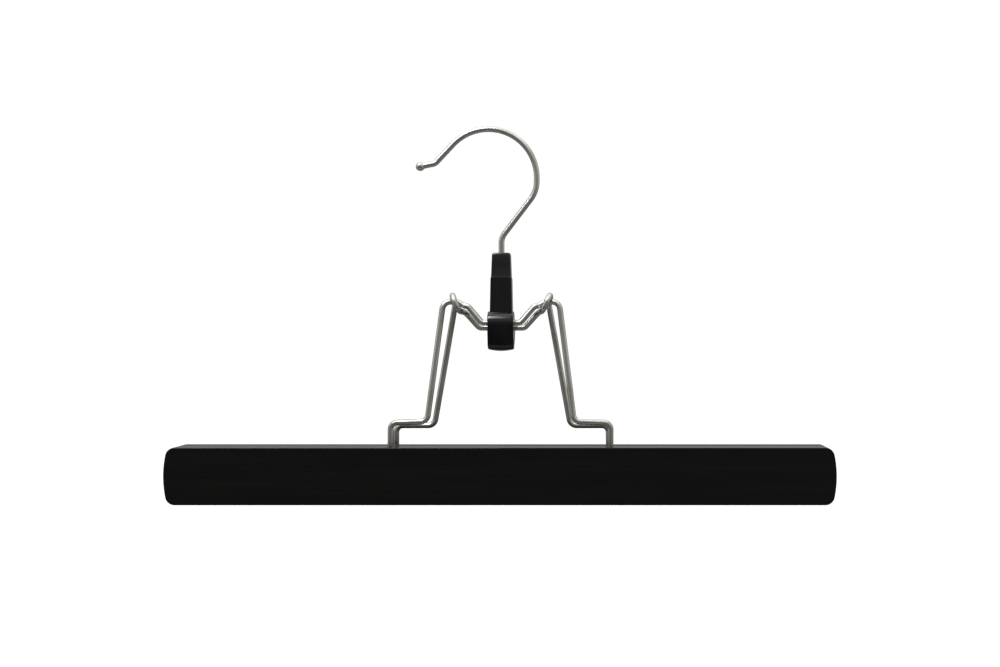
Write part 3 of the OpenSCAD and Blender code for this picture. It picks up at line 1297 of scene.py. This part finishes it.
SOFTBOXES = (
    Softbox("top_box", (0.0, 0.15, 0.95), (1.5, 0.8), 4.4),
    # Aimed straight back: aimed at the lever it would miss the highlight on the hub.
    Softbox("near_box", (-0.445, -0.54, 0.75), (0.70, 0.42), 12.0, (-0.445, 0.0, -0.10), (0.88, 0.92, 1.0)),
    Softbox("far_box", (0.40, -0.50, 0.75), (0.60, 0.50), 1.0),
    Softbox("left_box", (-1.3, -0.2, 0.1), (1.0, 1.2), 1.6),
    Softbox("right_box", (1.3, -0.1, 0.1), (1.0, 1.2), 1.2),
)


@dataclass
class Studio:
    """Pale floor, soft lamps, and a surround that is white to the camera.

    Args:
        floor_z: Height of the floor, in metres.
        floor_size: Width of the floor, in metres.
        floor_near: Where the floor begins, in front of the hanger.
        floor_pale: Colour of the floor.
        floor_glow: What the camera sees the floor give off.
        white: What the camera sees the surround give off.
    """

    floor_z: float = -0.55
    floor_size: float = 16.0
    floor_near: float = -0.5
    floor_pale: Colour = (0.24, 0.24, 0.238, 1.0)
    floor_glow: float = 0.94
    white: float = 1.02

    def floor(self) -> None:
        """Make the pale floor, which keeps shadows and looks white in light."""
        near, half = self.floor_near, self.floor_size / 2
        corners = ((-half, near), (half, near), (half, half), (-half, half))
        mesh = bpy.data.meshes.new("floor")
        mesh.from_pydata([(x, y, self.floor_z) for x, y in corners], [], [[0, 1, 2, 3]])
        floor = added("floor", mesh)
        material, paint = board_for("floor_pale")
        pale = paint.add("ShaderNodeBsdfDiffuse", {}, {"Color": self.floor_pale})
        seen = paint.add("ShaderNodeLightPath", {}, {}, "Is Camera Ray")
        glow = paint.add("ShaderNodeEmission", {}, {"Strength": seen * self.floor_glow})
        both = paint.add("ShaderNodeAddShader", {}, {0: pale, 1: glow})
        paint.add_output("ShaderNodeOutputMaterial", both)
        dress(floor, material)

    def surround(self) -> None:
        """Make the world: white to the camera, and to all else a plain room.

        The room is lighter above, beyond the hanger and a little on the right.
        """
        world = bpy.data.worlds.new("surround")
        bpy.context.scene.world = world
        world.use_nodes = True
        paint = Paint(world.node_tree)
        way = paint.add("ShaderNodeTexCoord", {}, {}, "Generated")
        side, depth, up = (paint.add("ShaderNodeSeparateXYZ", {}, {0: way}, axis) for axis in range(3))
        beyond = paint.spread(depth, -0.95, -0.15)
        level = paint.spread(up, -0.45, -0.02)
        sky = paint.spread(up, 0.05, 0.5)
        right = paint.spread(side, -0.3, 0.3)
        room = 0.06 + level * 0.15 + beyond * 0.14 + sky * 0.42 + right * 0.05
        seen = paint.add("ShaderNodeLightPath", {}, {}, "Is Camera Ray")
        strength = room * (1 - seen) + seen * self.white
        light = paint.add("ShaderNodeBackground", {}, {"Color": (1.0, 1.0, 1.0, 1.0), "Strength": strength})
        paint.add_output("ShaderNodeOutputWorld", light)

    def build(self) -> None:
        """Set the whole studio up."""
        self.floor()
        self.surround()
        for lamp in SOFTBOXES:
            lamp.build()
        bpy.context.scene.view_settings.view_transform = "Standard"


@dataclass
class Viewpoint:
    """The photograph's camera: level, a little to the right of the middle.

    Args:
        spot: Place of the lens, in drawing millimetres.
        focal_px: Focal length in pixels of a picture 1000 wide.
        centre_px: Where the lens's axis meets that picture.
        picture_px: Width of that picture.
    """

    spot: Triple = (52.2, -619.8, 59.26)
    focal_px: float = 1174.6
    centre_px: float = 600.46
    picture_px: float = 1000.0

    def build(self) -> None:
        """Make the camera and use it."""
        data = bpy.data.cameras.new("photo_view")
        data.sensor_fit = "HORIZONTAL"
        data.sensor_width = 36.0
        data.lens = self.focal_px / self.picture_px * data.sensor_width
        data.shift_x = 0.5 - self.centre_px / self.picture_px
        data.clip_start = 0.01
        camera = added("photo_view", data)
        camera.location = placed(np.array([self.spot]))[0]
        camera.rotation_euler = (math.pi / 2, 0.0, 0.0)
        bpy.context.scene.camera = camera


def main() -> None:
    """Build the studio and every piece."""
    logging.basicConfig(level=logging.INFO, format="%(name)s: %(message)s")
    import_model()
    Viewpoint().build()
    Studio().build()
    wire_finish = NickelledWire()
    rods = wire_finish.material("nickelled_wire")
    lacquer = BlackLacquer().material("black_lacquer")
    felt = BlackFelt().material("black_felt")
    pieces = [
        *Jaw(Side.FRONT, 57.5).build(lacquer, felt),
        *Jaw(Side.BACK, 56.5).build(lacquer, felt),
        front_wire().build(rods),
        back_wire().build(rods),
        ClosingLever().build(MouldedPlastic().material("moulded_plastic")),
        SwivelHook().build(wire_finish.material("nickelled_hook")),
    ]
    for piece in pieces:
        LOG.info("%s: %d faces", piece.name, len(piece.data.polygons))


if __name__ == "__main__":
    main()
